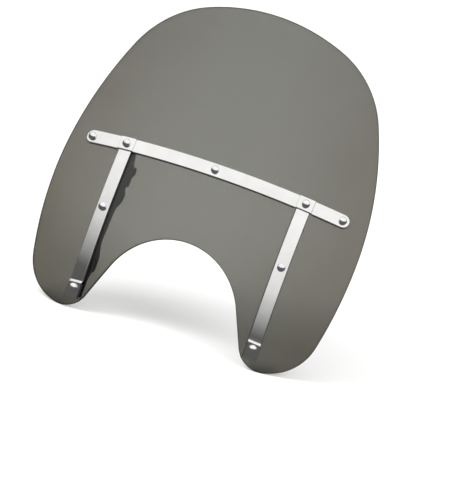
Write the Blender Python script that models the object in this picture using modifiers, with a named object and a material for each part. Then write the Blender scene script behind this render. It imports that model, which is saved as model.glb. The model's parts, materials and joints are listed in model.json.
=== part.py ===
"""A detachable motorcycle windshield screen.

A tinted sheet is clamped to a frame of polished straps by nine capped screws. Behind it, two
angle brackets carry docking slots, and a latch on each bracket shuts the upper slot.

The layout is written in the screen's own axes: X across, with the rider's left at +X, Y towards
the rider and Z up along the straps, from the middle of the crossbar on the sheet's front face.
PLACE then leans the screen back to its fitted angle and moves the origin to the docking centre.
"""
import math

import bmesh
import bpy
from mathutils import Matrix, Vector

for old in list(bpy.data.objects):
    bpy.data.objects.remove(old, do_unlink=True)

MM = 0.001
GAP = 0.3 * MM

# The sheet
SHEET_THICKNESS = 4.8 * MM
BOW_RADIUS = 680 * MM
SWEEP_RADIUS = 890 * MM
CROWN_HEIGHT = 318 * MM
OUTLINE_ARCS = (
    (405.0, 19.0),
    (181.0, 48.0),
    (676.0, 23.5),
    (757.0, 11.8),
    (102.0, 64.5),
    (45.5, 56.2),
)
ARCH_RADIUS = 134 * MM
ARCH_CENTRE_Z = -276 * MM
ARCH_FLARE = 24.0
GRID_X = 21.0 * MM
GRID_LOW = 30 * MM
GRID_HIGH = 80 * MM

# The strap frame
STRAP_WIDTH = 25.4 * MM
STRAP_THICKNESS = 3.0 * MM
GASKET_THICKNESS = 1.2 * MM
GASKET_SPILL = 0.8 * MM
STRAP_X = 172.5 * MM
STRAP_TOP = 11.0 * MM
MID_Z = -123.7 * MM
FOOT_Z = -274.5 * MM
FOOT_BELOW = 18.5 * MM
FOOT_ABOVE = 9.5 * MM
FOOT_RISE = 3.5 * MM
END_X = 242.4 * MM
JOGGLE_FLAT = 13.6 * MM
JOGGLE_RUN = 2.2 * MM
FOOT_RUN = 4.0 * MM

# Heights above the sheet's front face, along its normal
GASKET_BASE = GAP
STRAP_BASE = GASKET_BASE + GASKET_THICKNESS + GAP
STRAP_FACE = STRAP_BASE + STRAP_THICKNESS
CROSS_RISE = STRAP_THICKNESS + GAP
REAR_GASKET_BASE = -SHEET_THICKNESS - GAP - GASKET_THICKNESS
FLANGE_BASE = REAR_GASKET_BASE - GAP - STRAP_THICKNESS

# The fasteners
SHANK_RADIUS = 3.9 * MM
STRAP_HOLE = 4.3 * MM
GASKET_HOLE = 4.7 * MM
SHEET_HOLE = 6.3 * MM
GROMMET_RADIUS = 5.9 * MM
GROMMET_BORE = 4.3 * MM
FLANGE_RADIUS = 9.5 * MM
WASHER_RADIUS = 10.0 * MM
WASHER_THICKNESS = 1.5 * MM
HEAD_RADIUS = 7.0 * MM
HEAD_HEIGHT = 4.0 * MM
SOCKET_RADIUS = 2.9 * MM
SOCKET_DEPTH = 2.2 * MM
CAP_RADIUS = 7.7 * MM
CAP_SKIRT = 1.6 * MM
DOME_HEIGHT = 5.4 * MM
NUT_BORE = 4.2 * MM
NUT_BORE_DEPTH = 4.8 * MM
THREAD_ENGAGED = 4.2 * MM

# The brackets and latches: positions in the plate are (Y, Z)
BRACKET_HALF_WIDTH = 11.0 * MM
BRACKET_BOTTOM = -288 * MM
PLATE_X = 159.0 * MM
PLATE_THICKNESS = 3.0 * MM
SLOT_RADIUS = 7.0 * MM
SLOT_LENGTH = 30 * MM
UPPER_SEAT = (82.0 * MM, -60.0 * MM)
LOWER_SEAT = (84.0 * MM, -213.0 * MM)
LOWER_SLOT_TURN = -60.0
PIVOT = (62.0 * MM, -22.0 * MM)
PIVOT_RADIUS = 4.0 * MM
PIVOT_RUNNING_GAP = 0.08 * MM
LATCH_THICKNESS = 3.0 * MM
LATCH_BOSS = 9.0 * MM
WAVE_THICKNESS = 1.0 * MM
STOP_RADIUS = 2.5 * MM
STOP = (PIVOT[0] + 7.32 * MM, PIVOT[1] - 13.72 * MM)
GRIP_WALL = 2.6 * MM

# The fitted position
RAKE = 30.0
DOCKING_CENTRE = (Vector((0, *UPPER_SEAT)) + Vector((0, *LOWER_SEAT))) / 2
PLACE = Matrix.Rotation(math.radians(-RAKE), 4, "X") @ Matrix.Translation(-DOCKING_CENTRE)

FASTENERS = {
    "end_left": (END_X, 0.0),
    "cross_left": (STRAP_X, 0.0),
    "centre": (0.0, 0.0),
    "cross_right": (-STRAP_X, 0.0),
    "end_right": (-END_X, 0.0),
    "mid_left": (STRAP_X, MID_Z),
    "mid_right": (-STRAP_X, MID_Z),
    "foot_left": (STRAP_X, FOOT_Z),
    "foot_right": (-STRAP_X, FOOT_Z),
}
FREE_FASTENERS = ("end_left", "centre", "end_right")
SIDES = {"left": 1, "right": -1}

parts = bpy.data.collections.new("windshield_screen")
cutters = bpy.data.collections.new("cutters")
bpy.context.scene.collection.children.link(parts)
bpy.context.scene.collection.children.link(cutters)


def material(name, colour, metallic, roughness, transmission=0.0, alpha=1.0):
    made = bpy.data.materials.new(name)
    made.use_nodes = True
    shader = made.node_tree.nodes["Principled BSDF"]
    shader.inputs["Base Color"].default_value = (*colour, 1.0)
    shader.inputs["Metallic"].default_value = metallic
    shader.inputs["Roughness"].default_value = roughness
    shader.inputs["Transmission Weight"].default_value = transmission
    shader.inputs["Alpha"].default_value = alpha
    made.diffuse_color = (*colour, alpha)
    return made


def sheet_depth(x, z):
    """How far the sheet's front face lies behind the middle of the crossbar."""
    low = min(z, 0.0)
    bow = BOW_RADIUS - math.sqrt(BOW_RADIUS**2 - x**2)
    return bow + SWEEP_RADIUS - math.sqrt(SWEEP_RADIUS**2 - low**2)


def sheet_slopes(x, z):
    low = min(z, 0.0)
    return x / math.sqrt(BOW_RADIUS**2 - x**2), low / math.sqrt(SWEEP_RADIUS**2 - low**2)


def sheet_axes(x, z):
    """Unit vectors on the front face: across, up and out of the face."""
    slope_x, slope_z = sheet_slopes(x, z)
    out = Vector((slope_x, -1.0, slope_z)).normalized()
    across = Vector((1.0, slope_x, 0.0)).normalized()
    return across, out.cross(across).normalized(), out


def on_sheet(x, z, height):
    return Vector((x, sheet_depth(x, z), z)) + sheet_axes(x, z)[2] * height


def fastener_frame(name):
    """A frame on the sheet's front face with Z out along the fastener's axis."""
    x, z = FASTENERS[name]
    across, up, out = sheet_axes(x, z)
    turn = Matrix((across, up, out)).transposed().to_4x4()
    return Matrix.Translation(on_sheet(x, z, 0)) @ turn


def add(name, mesh, finish=None, collection=parts, smooth=True):
    made = bpy.data.objects.new(name, mesh)
    collection.objects.link(made)
    if finish:
        mesh.materials.clear()
        mesh.materials.append(finish)
    for face in mesh.polygons:
        face.use_smooth = smooth
    if collection == cutters:
        made.hide_render = True
        made.display_type = "WIRE"
    return made


def bmesh_to_mesh(bm, name):
    bmesh.ops.recalc_face_normals(bm, faces=bm.faces)
    mesh = bpy.data.meshes.new(name)
    bm.to_mesh(mesh)
    bm.free()
    return mesh


def boolean(target, cutter, operation="DIFFERENCE"):
    step = target.modifiers.new(operation.lower(), "BOOLEAN")
    step.operation = operation
    step.solver = "EXACT"
    step.object = cutter


def bevel(target, width, segments, angle=50):
    step = target.modifiers.new("edges", "BEVEL")
    step.width = width
    step.segments = segments
    step.limit_method = "ANGLE"
    step.angle_limit = math.radians(angle)


def baked(target):
    """The target's mesh with its modifiers applied."""
    bpy.context.view_layer.update()
    graph = bpy.context.evaluated_depsgraph_get()
    return bpy.data.meshes.new_from_object(target.evaluated_get(graph))


def revolved(name, profile, steps):
    """A mesh turned about Z from (radius, height) points that run down its outer side."""
    bm = bmesh.new()
    points = [bm.verts.new((radius, 0, height)) for radius, height in profile]
    ring = points + [points[0]]
    edges = [bm.edges.new(pair) for pair in zip(ring, ring[1:])]
    bmesh.ops.spin(
        bm,
        geom=points + edges,
        cent=(0, 0, 0),
        axis=(0, 0, 1),
        angle=2 * math.pi,
        steps=steps,
        use_merge=True,
    )
    bmesh.ops.remove_doubles(bm, verts=bm.verts, dist=0.00001)
    flat = [face for face in bm.faces if face.calc_area() < 1e-12]
    bmesh.ops.delete(bm, geom=flat, context="FACES")
    return bmesh_to_mesh(bm, name)


def prism(name, outline, x_low, x_high, rounded=0, radius=0.0):
    """A plate with a (Y, Z) outline between two X positions, its last corners rounded."""
    bm = bmesh.new()
    corners = [bm.verts.new((x_low, y, z)) for y, z in outline]
    bm.faces.new(corners)
    if rounded:
        soft = corners[-rounded:]
        bmesh.ops.bevel(bm, geom=soft, offset=radius, segments=4, profile=0.5, affect="VERTICES")
    raised = bmesh.ops.extrude_face_region(bm, geom=list(bm.faces), use_keep_orig=True)
    moved = [item for item in raised["geom"] if isinstance(item, bmesh.types.BMVert)]
    bmesh.ops.translate(bm, verts=moved, vec=(x_high - x_low, 0, 0))
    return bmesh_to_mesh(bm, name)


def loft(name, stations):
    """A bar of rectangular section through (centre, side vector, rise vector) stations.

    The centre lies in the bar's inner face, the side vector reaches to one edge and the rise
    vector reaches to the outer face.
    """
    bm = bmesh.new()
    rings = []
    for centre, side, rise in stations:
        corners = (centre - side, centre + side, centre + side + rise, centre - side + rise)
        rings.append([bm.verts.new(corner) for corner in corners])
    for ring, following in zip(rings, rings[1:]):
        for k in range(4):
            j = (k + 1) % 4
            bm.faces.new((ring[k], ring[j], following[j], following[k]))
    bm.faces.new(rings[0])
    bm.faces.new(rings[-1])
    return bmesh_to_mesh(bm, name)


def spaced(start, end, pitch):
    count = max(1, math.ceil(abs(end - start) / pitch))
    return [start + (end - start) * k / count for k in range(count + 1)]


def ease(share):
    """A smooth step from 0 to 1."""
    return 0.5 - 0.5 * math.cos(math.pi * min(max(share, 0.0), 1.0))


def arc_chain(start, heading, arcs, pitch):
    """Points along clockwise arcs of (radius in mm, sweep in degrees) from a start point."""
    x, z = start
    points = [(x, z)]
    for radius, sweep in arcs:
        steps = max(3, math.ceil(radius * MM * math.radians(sweep) / pitch), math.ceil(sweep / 12))
        turn = math.radians(sweep) / steps
        chord = 2 * radius * MM * math.sin(turn / 2)
        for _ in range(steps):
            x += chord * math.cos(heading - turn / 2)
            z += chord * math.sin(heading - turn / 2)
            heading -= turn
            points.append((x, z))
    return points


def sheet_outline():
    """The screen's whole outline as (X, Z) points, from the crown clockwise and back."""
    side = arc_chain((0.0, CROWN_HEIGHT), 0.0, OUTLINE_ARCS, 16 * MM)
    flare = math.radians(ARCH_FLARE)
    arch_sweep = 90 - ARCH_FLARE
    arch = []
    for k in range(1, 12):
        angle = flare + math.radians(arch_sweep) * k / 11
        arch.append((ARCH_RADIUS * math.cos(angle), ARCH_CENTRE_Z + ARCH_RADIUS * math.sin(angle)))
    tangent = (ARCH_RADIUS * math.cos(flare), ARCH_CENTRE_Z + ARCH_RADIUS * math.sin(flare))
    corner_x, corner_z = side[-1]
    foot_z = corner_z + 9 * MM
    foot = (tangent[0] + math.tan(flare) * (tangent[1] - foot_z), foot_z)
    half = side + [foot, tangent] + arch[:-1]
    crown_of_arch = [(0.0, ARCH_CENTRE_Z + ARCH_RADIUS)]
    mirrored = [(-x, z) for x, z in reversed(half[1:])]
    return half + crown_of_arch + mirrored


def sheet_mesh():
    """The outline filled, cut along a grid, and bent to the bow and the sweep."""
    bm = bmesh.new()
    bm.faces.new([bm.verts.new((x, 0, z)) for x, z in sheet_outline()])
    columns = math.floor(0.3 / GRID_X)
    cuts = [((k * GRID_X, 0, 0), (1, 0, 0)) for k in range(-columns, columns + 1)]
    cuts += [((0, 0, -k * GRID_LOW), (0, 0, 1)) for k in range(11)]
    cuts += [((0, 0, k * GRID_HIGH), (0, 0, 1)) for k in range(1, 4)]
    for point, normal in cuts:
        everything = list(bm.verts) + list(bm.edges) + list(bm.faces)
        bmesh.ops.bisect_plane(bm, geom=everything, dist=0.00002, plane_co=point, plane_no=normal)
    bmesh.ops.remove_doubles(bm, verts=bm.verts, dist=0.00005)
    for vert in bm.verts:
        vert.co.y = sheet_depth(vert.co.x, vert.co.z)
    for face in bm.faces:
        face.normal_update()
        if face.normal.y > 0:
            face.normal_flip()
    mesh = bpy.data.meshes.new("sheet")
    bm.to_mesh(mesh)
    bm.free()
    return mesh


def upright_strip(x, tops, half_width, thickness, height_at):
    """A bar that runs down the sheet at one X, its inner face at a height above the sheet."""
    stations = []
    for z in tops:
        across, _, out = sheet_axes(x, z)
        stations.append((on_sheet(x, z, height_at(z)), across * half_width, out * thickness))
    return stations


def level_strip(z, xs, half_width_at, thickness, height_at):
    """A bar that runs across the sheet at one Z."""
    stations = []
    for x in xs:
        _, up, out = sheet_axes(x, z)
        stations.append((on_sheet(x, z, height_at(x)), up * half_width_at(x), out * thickness))
    return stations


def strap_height(z):
    """The strap's inner face: flat along the sheet, then raised over the foot pad."""
    bend = FOOT_Z + FOOT_ABOVE
    return STRAP_BASE + FOOT_RISE * ease((bend + FOOT_RUN - z) / FOOT_RUN)


def strap_levels():
    bend = FOOT_Z + FOOT_ABOVE
    upper = spaced(STRAP_TOP, 0.0, 30 * MM) + spaced(0.0, bend + FOOT_RUN, 22 * MM)[1:]
    joggle = spaced(bend + FOOT_RUN, bend, 1.34 * MM)[1:]
    return upper + joggle + spaced(bend, FOOT_Z - FOOT_BELOW, 16 * MM)[1:]


def crossbar_height(x):
    reach = abs(abs(x) - STRAP_X) - JOGGLE_FLAT
    return STRAP_BASE + CROSS_RISE * ease(1 - reach / JOGGLE_RUN)


def crossbar_half_width(x, spill=0.0):
    past = abs(x) - END_X
    half = STRAP_WIDTH / 2 + spill
    return half if past <= 0 else math.sqrt(max(half**2 - past**2, (0.16 * half) ** 2))


def tip_stations(radius):
    """Where the rounded end of the crossbar, or of its gasket, is cut into straight lengths."""
    return [END_X + radius * math.sin(math.radians(angle)) for angle in (18, 36, 52, 67, 80.8)]


def crossbar_stations():
    inner = STRAP_X - JOGGLE_FLAT - JOGGLE_RUN
    outer = STRAP_X + JOGGLE_FLAT + JOGGLE_RUN
    half = spaced(0.0, inner, 26 * MM)
    half += spaced(inner, inner + JOGGLE_RUN, 0.74 * MM)[1:]
    half += spaced(inner + JOGGLE_RUN, outer - JOGGLE_RUN, 10 * MM)[1:]
    half += spaced(outer - JOGGLE_RUN, outer, 0.74 * MM)[1:]
    half += spaced(outer, END_X, 20 * MM)[1:]
    half += tip_stations(STRAP_WIDTH / 2)
    return [-x for x in reversed(half[1:])] + half


def drill(name, radius, names=tuple(FASTENERS), steps=16):
    """One cutter with a cylinder along each fastener's axis."""
    bm = bmesh.new()
    for fastener in names:
        frame = fastener_frame(fastener)
        bmesh.ops.create_cone(
            bm,
            cap_ends=True,
            segments=steps,
            radius1=radius,
            radius2=radius,
            depth=50 * MM,
            matrix=frame,
        )
    made = add(name, bmesh_to_mesh(bm, name), collection=cutters)
    made.matrix_world = PLACE
    return made


def capsule(name, seat, turn, sign):
    """A cutter for an open-ended slot: a half-round seat with straight sides."""
    y, z = seat
    way = math.radians(turn)
    outline = []
    for k in range(9):
        angle = way + math.pi / 2 + math.pi * k / 8
        outline.append((y + SLOT_RADIUS * math.cos(angle), z + SLOT_RADIUS * math.sin(angle)))
    for side in (-1, 1):
        along = (SLOT_LENGTH * math.cos(way), SLOT_LENGTH * math.sin(way))
        edge = (-side * SLOT_RADIUS * math.sin(way), side * SLOT_RADIUS * math.cos(way))
        outline.append((y + along[0] + edge[0], z + along[1] + edge[1]))
    low, high = sorted((sign * (PLATE_X - 5 * MM), sign * (PLATE_X + PLATE_THICKNESS + 5 * MM)))
    made = add(name, prism(name, outline, low, high), collection=cutters)
    made.matrix_world = PLACE
    return made


def cross_pin(name, centre, radius, sign, steps=32):
    """A cutter along X through the bracket's plate."""
    bm = bmesh.new()
    middle = sign * (PLATE_X + PLATE_THICKNESS / 2)
    frame = Matrix.Translation((middle, *centre)) @ Matrix.Rotation(math.pi / 2, 4, "Y")
    bmesh.ops.create_cone(
        bm,
        cap_ends=True,
        segments=steps,
        radius1=radius,
        radius2=radius,
        depth=20 * MM,
        matrix=frame,
    )
    made = add(name, bmesh_to_mesh(bm, name), collection=cutters)
    made.matrix_world = PLACE
    return made


def plate_outline():
    """The bracket's side plate: it follows the sheet in front and reaches back to the slots."""
    root = PLATE_X + PLATE_THICKNESS / 2
    setback = -FLANGE_BASE - STRAP_THICKNESS / 2
    front = [
        (sheet_depth(root, z) + setback * (1 + 0.03 * z / BRACKET_BOTTOM), z)
        for z in spaced(BRACKET_BOTTOM + 4 * MM, STRAP_TOP - 4 * MM, 30 * MM)
    ]
    upper_y, upper_z = UPPER_SEAT
    lower_y, lower_z = LOWER_SEAT
    rear = [
        (front[-1][0] + 14 * MM, STRAP_TOP - 4 * MM),
        (upper_y + 18 * MM, upper_z + 26 * MM),
        (upper_y + 18 * MM, upper_z - 24 * MM),
        (upper_y - 12 * MM, upper_z - 48 * MM),
        (lower_y - 14 * MM, lower_z + 35 * MM),
        (lower_y + 20 * MM, lower_z + 13 * MM),
        (lower_y + 24 * MM, lower_z - 9 * MM),
        (lower_y - 4 * MM, lower_z - 29 * MM),
        (lower_y + 2 * MM, BRACKET_BOTTOM + 4 * MM),
    ]
    return front, rear


def bracket_plate(name, sign):
    """The side plate with its rear corners rounded; its front edge stays inside the flange."""
    low, high = sorted((sign * PLATE_X, sign * (PLATE_X + PLATE_THICKNESS)))
    front, rear = plate_outline()
    outline = rear[-1:] + front + rear[:-1]
    made = add(name, prism(name, outline, low, high, len(rear) - 1, 8 * MM), collection=cutters)
    made.matrix_world = PLACE
    return made


def latch_outline():
    """The latch about its pivot as (Y, Z) points: boss, finger tab, and hook across the slot."""
    boss = []
    for k in range(9):
        angle = math.radians(75 + 195 * k / 8)
        boss.append((LATCH_BOSS * math.cos(angle), LATCH_BOSS * math.sin(angle)))
    hook = [(20, -14), (28.5, -21), (28.5, -52), (33, -57), (41, -54), (41, -9.9)]
    tab = [(57.9, 2.8), (52.5, 10.0), (33.3, -4.4)]
    return boss + [(y * MM, z * MM) for y, z in hook + tab]


tint = material("tinted_polycarbonate", (0.20, 0.17, 0.12), 0.0, 0.06, 0.0, 0.55)
polished = material("polished_stainless", (0.80, 0.80, 0.79), 1.0, 0.08)
satin = material("latch_stainless", (0.66, 0.66, 0.65), 1.0, 0.22)
chrome = material("chromed_steel", (0.86, 0.86, 0.87), 1.0, 0.04)
zinc = material("plated_steel", (0.62, 0.62, 0.60), 1.0, 0.28)
black_steel = material("black_painted_steel", (0.025, 0.025, 0.027), 0.0, 0.35)
rubber = material("black_rubber", (0.018, 0.018, 0.018), 0.0, 0.75)
nylon = material("black_nylon", (0.05, 0.05, 0.05), 0.0, 0.5)

strap_drill = drill("strap_drill", STRAP_HOLE)
gasket_drill = drill("gasket_drill", GASKET_HOLE, steps=12)
sheet_drill = drill("sheet_drill", SHEET_HOLE)

# The sheet
shield = add("shield", sheet_mesh(), tint)
shield.matrix_world = PLACE
thicken = shield.modifiers.new("thickness", "SOLIDIFY")
thicken.thickness = SHEET_THICKNESS
thicken.offset = -1
thicken.use_even_offset = True
bevel(shield, 0.9 * MM, 1)
boolean(shield, sheet_drill)

# The crossbar and its gasket in three lengths, each stopping short of the joggles
crossbar_run = level_strip(
    0.0, crossbar_stations(), crossbar_half_width, STRAP_THICKNESS, crossbar_height
)
crossbar = add("crossbar", loft("crossbar", crossbar_run), polished)
crossbar.matrix_world = PLACE
bevel(crossbar, 0.7 * MM, 1)
boolean(crossbar, strap_drill)

gasket_half = STRAP_WIDTH / 2 + GASKET_SPILL
joggle_end = JOGGLE_FLAT + JOGGLE_RUN
outer_run = spaced(STRAP_X + joggle_end, END_X, 20 * MM) + tip_stations(gasket_half)
gasket_runs = {
    "crossbar_gasket_centre": spaced(-(STRAP_X - joggle_end), STRAP_X - joggle_end, 20 * MM),
    "crossbar_gasket_left": outer_run,
    "crossbar_gasket_right": [-x for x in reversed(outer_run)],
}
for name, xs in gasket_runs.items():
    run = level_strip(
        0.0,
        xs,
        lambda x: crossbar_half_width(x, GASKET_SPILL),
        GASKET_THICKNESS,
        lambda x: GASKET_BASE,
    )
    gasket = add(name, loft(name, run), rubber)
    gasket.matrix_world = PLACE
    boolean(gasket, gasket_drill)

# The upright straps with their gaskets and foot pads
foot_bend = FOOT_Z + FOOT_ABOVE
for side, sign in SIDES.items():
    x = sign * STRAP_X
    half = STRAP_WIDTH / 2
    mesh = loft("strap", upright_strip(x, strap_levels(), half, STRAP_THICKNESS, strap_height))
    strap = add(f"strap_{side}", mesh, polished)
    strap.matrix_world = PLACE
    bevel(strap, 0.7 * MM, 1)
    boolean(strap, strap_drill)

    levels = spaced(STRAP_TOP, 0.0, 30 * MM) + spaced(0.0, foot_bend + FOOT_RUN, 30 * MM)[1:]
    run = upright_strip(x, levels, gasket_half, GASKET_THICKNESS, lambda z: GASKET_BASE)
    mesh = loft("strap_gasket", run)
    strap_gasket = add(f"strap_gasket_{side}", mesh, rubber)
    strap_gasket.matrix_world = PLACE
    boolean(strap_gasket, gasket_drill)

    levels = spaced(foot_bend - 0.5 * MM, FOOT_Z - FOOT_BELOW + 0.6 * MM, 14 * MM)
    pad_thickness = STRAP_BASE + FOOT_RISE - GAP - GASKET_BASE
    run = upright_strip(x, levels, gasket_half, pad_thickness, lambda z: GASKET_BASE)
    mesh = loft("foot_pad", run)
    pad = add(f"foot_pad_{side}", mesh, rubber)
    pad.matrix_world = PLACE
    boolean(pad, gasket_drill)

# The brackets behind the sheet
for side, sign in SIDES.items():
    x = sign * STRAP_X
    levels = spaced(STRAP_TOP, 0.0, 30 * MM) + spaced(0.0, BRACKET_BOTTOM, 26 * MM)[1:]
    run = upright_strip(x, levels, BRACKET_HALF_WIDTH, STRAP_THICKNESS, lambda z: FLANGE_BASE)
    mesh = loft("bracket", run)
    bracket = add(f"bracket_{side}", mesh, black_steel)
    bracket.matrix_world = PLACE
    boolean(bracket, bracket_plate(f"plate_{side}", sign), "UNION")
    boolean(bracket, strap_drill)
    boolean(bracket, capsule(f"upper_slot_{side}", UPPER_SEAT, 0.0, sign))
    boolean(bracket, capsule(f"lower_slot_{side}", LOWER_SEAT, LOWER_SLOT_TURN, sign))
    boolean(bracket, cross_pin(f"pivot_hole_{side}", PIVOT, PIVOT_RADIUS + GAP, sign))
    stop_bore = STOP_RADIUS - 0.5 * MM + GAP
    boolean(bracket, cross_pin(f"stop_hole_{side}", STOP, stop_bore, sign, 16))

    levels = spaced(STRAP_TOP, 0.0, 30 * MM) + spaced(0.0, BRACKET_BOTTOM, 30 * MM)[1:]
    half = BRACKET_HALF_WIDTH - 0.4 * MM
    run = upright_strip(x, levels, half, GASKET_THICKNESS, lambda z: REAR_GASKET_BASE)
    mesh = loft("bracket_gasket", run)
    gasket = add(f"bracket_gasket_{side}", mesh, rubber)
    gasket.matrix_world = PLACE
    boolean(gasket, gasket_drill)


# The fasteners
def nut_mesh():
    """A round capped nut: a low dome on a short skirt, with a blind hole from below."""
    profile = [(0, CAP_SKIRT + DOME_HEIGHT)]
    for angle in (72, 52, 33, 15):
        rise = math.sin(math.radians(angle))
        spread = math.cos(math.radians(angle))
        profile.append((CAP_RADIUS * spread, CAP_SKIRT + DOME_HEIGHT * rise))
    profile += [(CAP_RADIUS, CAP_SKIRT), (CAP_RADIUS, 0.4 * MM), (CAP_RADIUS - 0.4 * MM, 0), (0, 0)]
    cap = add("nut_cap", revolved("nut_cap", profile, 20), collection=cutters)
    hole_profile = [
        (0, NUT_BORE_DEPTH + NUT_BORE * 0.2),
        (NUT_BORE, NUT_BORE_DEPTH),
        (NUT_BORE, -1 * MM),
        (0, -1 * MM),
    ]
    hole = add("nut_hole", revolved("nut_hole", hole_profile, 10), collection=cutters)
    boolean(cap, hole)
    mesh = baked(cap)
    cap.modifiers.clear()
    return mesh


def screw_mesh(length):
    """A button head with a hexagonal socket, its seat at height 0 and its shank upward."""
    head = [
        (0, length),
        (SHANK_RADIUS - 0.6 * MM, length),
        (SHANK_RADIUS, length - 0.6 * MM),
        (SHANK_RADIUS, 0),
        (HEAD_RADIUS, 0),
        (HEAD_RADIUS, -0.9 * MM),
        (HEAD_RADIUS * 0.88, -HEAD_HEIGHT * 0.6),
        (HEAD_RADIUS * 0.62, -HEAD_HEIGHT),
        (0, -HEAD_HEIGHT),
    ]
    body = add("screw_blank", revolved("screw_blank", head, 14), collection=cutters)
    bm = bmesh.new()
    bmesh.ops.create_cone(
        bm,
        cap_ends=True,
        segments=6,
        radius1=SOCKET_RADIUS,
        radius2=SOCKET_RADIUS,
        depth=2 * SOCKET_DEPTH,
        matrix=Matrix.Translation((0, 0, -HEAD_HEIGHT)),
    )
    socket = add("screw_socket", bmesh_to_mesh(bm, "screw_socket"), collection=cutters)
    boolean(body, socket)
    mesh = baked(body)
    body.modifiers.clear()
    return mesh


def sleeve_profile(flanged):
    top = -0.1 * MM
    if not flanged:
        low = -SHEET_THICKNESS + 0.1 * MM
        return [(GROMMET_BORE, top), (GROMMET_RADIUS, top), (GROMMET_RADIUS, low), (GROMMET_BORE, low)]
    shelf = -SHEET_THICKNESS - GAP
    low = shelf - GASKET_THICKNESS
    outer = [(GROMMET_RADIUS, shelf), (FLANGE_RADIUS, shelf), (FLANGE_RADIUS, low)]
    return [(GROMMET_BORE, top), (GROMMET_RADIUS, top)] + outer + [(GROMMET_BORE, low)]


def front_height(name):
    """The height of the metal face that a fastener's nut sits on."""
    if name.startswith("cross"):
        return STRAP_FACE + CROSS_RISE
    if name.startswith("foot"):
        return STRAP_FACE + FOOT_RISE
    return STRAP_FACE


washer_base = REAR_GASKET_BASE - GAP - WASHER_THICKNESS
nut = nut_mesh()
sleeve = revolved("grommet", sleeve_profile(False), 12)
flanged_sleeve = revolved("grommet_flanged", sleeve_profile(True), 16)
washer_profile = [
    (GROMMET_BORE, WASHER_THICKNESS),
    (WASHER_RADIUS, WASHER_THICKNESS),
    (WASHER_RADIUS, 0),
    (GROMMET_BORE, 0),
]
washer = revolved("washer", washer_profile, 16)
screws = {}
for name in FASTENERS:
    frame = PLACE @ fastener_frame(name)
    nut_base = front_height(name) + GAP
    free = name in FREE_FASTENERS
    seat = (washer_base if free else FLANGE_BASE) - GAP
    length = round(nut_base + THREAD_ENGAGED - seat, 5)
    if length not in screws:
        screws[length] = screw_mesh(length)
    add(f"nut_{name}", nut, chrome).matrix_world = frame @ Matrix.Translation((0, 0, nut_base))
    add(f"screw_{name}", screws[length], zinc).matrix_world = frame @ Matrix.Translation((0, 0, seat))
    add(f"grommet_{name}", flanged_sleeve if free else sleeve, rubber).matrix_world = frame
    if free:
        seated = frame @ Matrix.Translation((0, 0, washer_base))
        add(f"washer_{name}", washer, zinc).matrix_world = seated

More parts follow.
